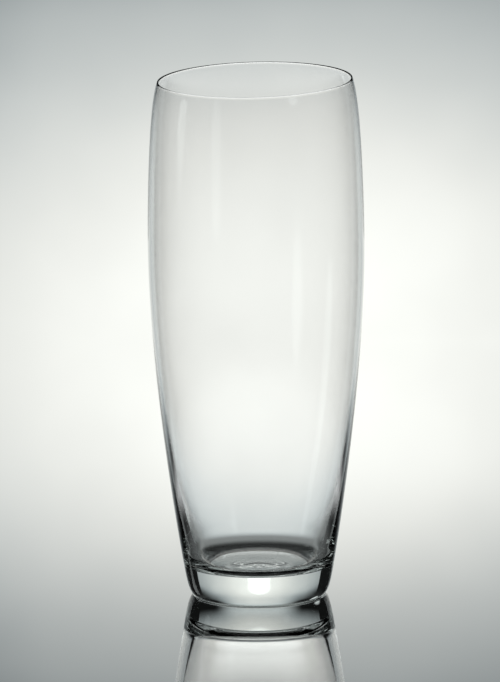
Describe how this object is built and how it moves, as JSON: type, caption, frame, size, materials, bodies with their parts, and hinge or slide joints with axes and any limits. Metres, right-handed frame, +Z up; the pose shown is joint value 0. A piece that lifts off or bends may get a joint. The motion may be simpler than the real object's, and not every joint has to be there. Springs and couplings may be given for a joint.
{
  "type": "vase",
  "caption": "Tall barrel-shaped clear glass flower vase with a thick solid base, tapering lower wall, drawn-in shoulder and rounded rim.",
  "frame": {"origin": "centre of the ring that the vase stands on, in the plane of the table", "axes": "+Z up the axis of the vase; X and Y are any two horizontal directions, because the shape is turned"},
  "size_m": [0.1242, 0.1242, 0.3],
  "materials": {
    "glass": "clear polished soda-lime glass with a faint grey-green tint"
  },
  "bodies": {
    "root": {"solid_base": "glass", "lower_wall": "glass", "middle_wall": "glass", "upper_wall": "glass", "shoulder": "glass", "rim": "glass"}
  },
  "joints": []
}
